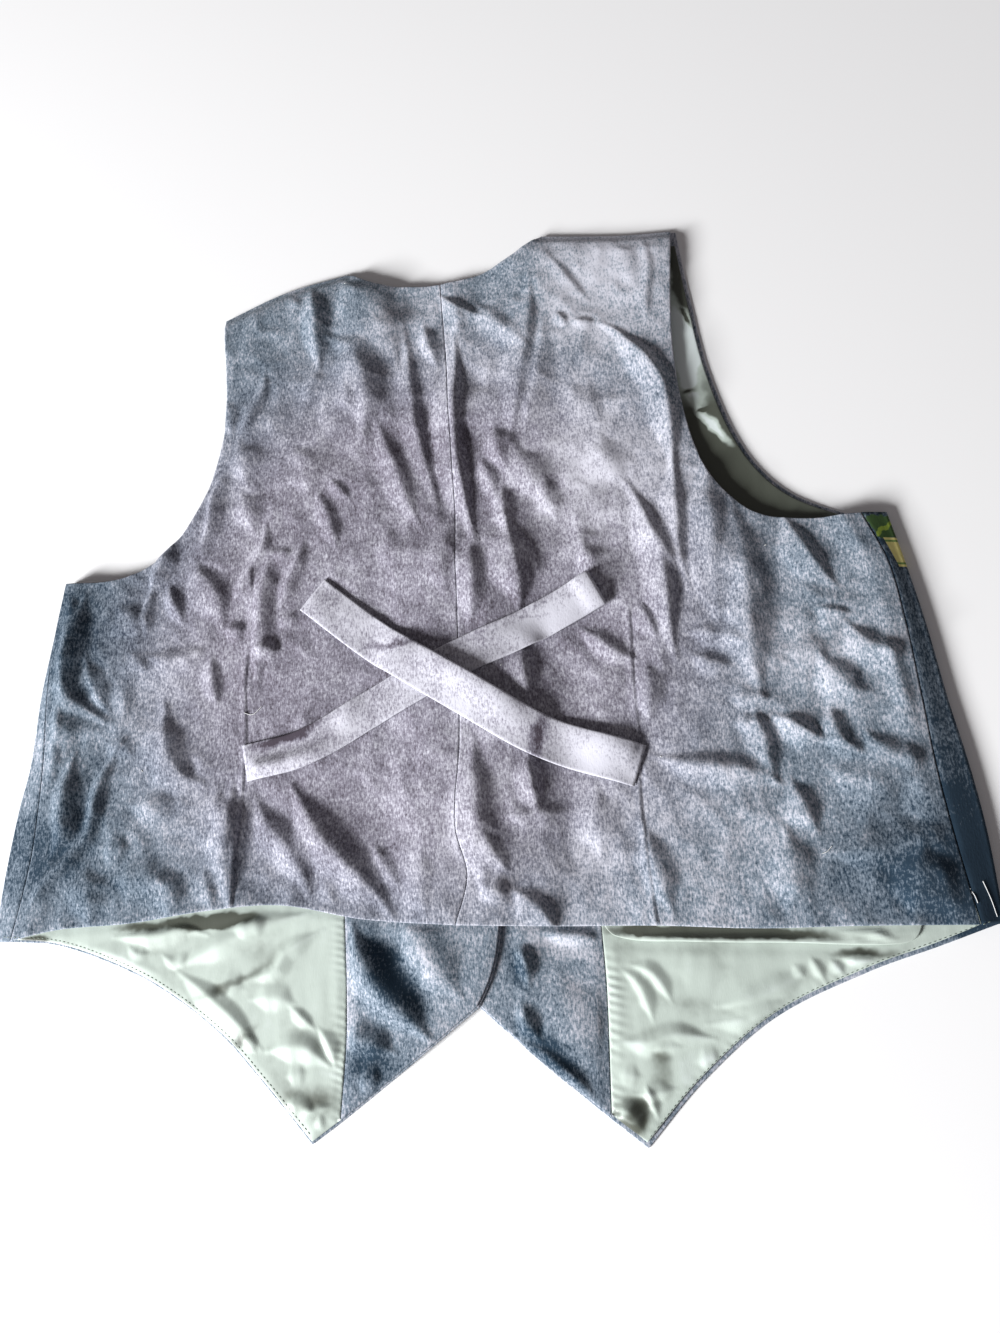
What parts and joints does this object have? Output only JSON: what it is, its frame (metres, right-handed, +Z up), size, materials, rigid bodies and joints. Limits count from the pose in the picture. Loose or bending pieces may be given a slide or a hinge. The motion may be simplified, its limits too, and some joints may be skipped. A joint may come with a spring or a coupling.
{
  "type": "waistcoat",
  "caption": "Lined wool waistcoat laid face down, its tie belt crossed over the back and its pointed fronts showing below the hem.",
  "frame": {"origin": "middle of the bounding box, on the surface that the fronts lie on", "axes": "+X to the right across the garment as seen from its back, +Y from the hem to the neck, +Z up out of the surface"},
  "size_m": [0.635, 0.616, 0.0181],
  "materials": {
    "back_wool": "brushed charcoal wool flannel",
    "front_cloth": "dark blue-green brushed cloth",
    "facing_wool": "brushed blue-grey wool flannel",
    "lining_satin": "pale sage satin",
    "button": "plain black"
  },
  "bodies": {
    "root": {"back_left": "back_wool", "back_right": "back_wool", "back_lining": "lining_satin", "front_left": "front_cloth", "front_right": "front_cloth", "facing_left": "facing_wool", "facing_right": "facing_wool", "lining_left": "lining_satin", "lining_right": "lining_satin", "tie_left": "back_wool", "tie_right": "back_wool", "button_1": "button", "button_2": "button", "button_3": "button", "button_4": "button"}
  },
  "joints": []
}
